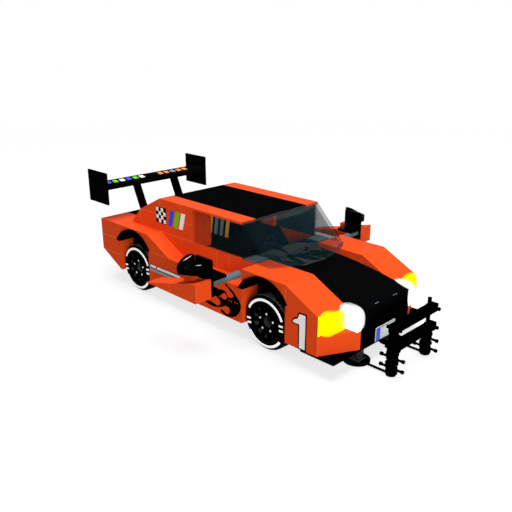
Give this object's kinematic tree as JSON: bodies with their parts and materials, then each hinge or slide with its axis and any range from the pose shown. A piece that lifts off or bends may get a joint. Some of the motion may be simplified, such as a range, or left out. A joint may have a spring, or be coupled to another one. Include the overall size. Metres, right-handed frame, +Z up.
{
  "type": "brick-built toy race car",
  "caption": "Brick-built toy race car with roof, tall rear wing, side pods on arms, lit nose lamps and a low front frame; wheels turn.",
  "frame": {"origin": "centre of the bounding box's underside, on the floor between the wheels", "axes": "+X forward, +Y to the car's left, +Z up"},
  "size_m": [0.178, 0.1128, 0.056],
  "materials": {
    "orange_shell": "moulded ABS, satin gloss",
    "black_shell": "moulded ABS with a fine weave",
    "black_gloss": "polished ABS",
    "black_frame": "moulded, fine grain",
    "grey_frame": "moulded, fine grain",
    "smoke_clear": "clear polycarbonate, smoke tint",
    "grey_clear": "frosted polycarbonate",
    "white_lamp": "frosted diffuser, lit",
    "yellow_lamp": "frosted diffuser, lit",
    "tail_lamp_red": "clear red, guessed",
    "plate_white": "blank, blue band at one end",
    "dark_inside": "moulded, fine grain",
    "steel_pin": "blackened drawn pin",
    "tyre_rubber": "soft rubber, white ring on the wall",
    "rim_dark": "moulded, dark"
  },
  "bodies": {
    "car": {"arch_liner_front": "black_shell", "arch_liner_rear": "black_shell", "axle_carrier_front": "dark_inside", "axle_carrier_rear": "dark_inside", "axle_front": "steel_pin", "axle_rear": "steel_pin", "bumper_corner": "orange_shell", "cowl": "black_shell", "door_wall": "orange_shell", "fender_front": "orange_shell", "fender_rear": "orange_shell", "floor_plate": "dark_inside", "frame_beam_high": "black_frame", "frame_beam_low": "black_frame", "frame_black_post": "black_frame", "frame_foot": "black_frame", "frame_grey_post": "grey_frame", "frame_link": "black_frame", "frame_tie": "black_frame", "hood": "black_shell", "lamp_tail": "tail_lamp_red", "lamp_white": "white_lamp", "lamp_yellow": "yellow_lamp", "nose": "black_shell", "number_plate": "plate_white", "pod": "orange_shell", "pod_cup": "black_gloss", "pod_tube": "grey_clear", "quarter_wall": "orange_shell", "rear_deck": "black_shell", "rear_pillar": "orange_shell", "rear_screen": "black_shell", "roof_panel": "black_shell", "roof_rail": "orange_shell", "seat": "dark_inside", "side_pillar": "orange_shell", "side_window": "smoke_clear", "sill": "orange_shell", "splitter": "black_shell", "steering_wheel": "dark_inside", "tail_panel": "orange_shell", "wheel_well_front": "black_shell", "wheel_well_rear": "black_shell", "window_net": "dark_inside", "windscreen": "smoke_clear", "wing_end_plate": "black_shell", "wing_plane": "black_shell", "wing_strut": "black_shell"},
    "wheel_front_left": {"tyre_front_left": "tyre_rubber", "rim_front_left": "rim_dark"},
    "wheel_front_right": {"tyre_front_right": "tyre_rubber", "rim_front_right": "rim_dark"},
    "wheel_rear_left": {"tyre_rear_left": "tyre_rubber", "rim_rear_left": "rim_dark"},
    "wheel_rear_right": {"tyre_rear_right": "tyre_rubber", "rim_rear_right": "rim_dark"}
  },
  "joints": [
    {"name": "wheel_front_left_spin", "type": "hinge", "parent": "car", "child": "wheel_front_left", "pos_m": [0.03615, 0.0268, 0.0117], "axis": [0, 1, 0], "continuous": true},
    {"name": "wheel_front_right_spin", "type": "hinge", "parent": "car", "child": "wheel_front_right", "pos_m": [0.03615, -0.0268, 0.0117], "axis": [0, 1, 0], "continuous": true},
    {"name": "wheel_rear_left_spin", "type": "hinge", "parent": "car", "child": "wheel_rear_left", "pos_m": [-0.05185, 0.0268, 0.0117], "axis": [0, 1, 0], "continuous": true},
    {"name": "wheel_rear_right_spin", "type": "hinge", "parent": "car", "child": "wheel_rear_right", "pos_m": [-0.05185, -0.0268, 0.0117], "axis": [0, 1, 0], "continuous": true}
  ]
}
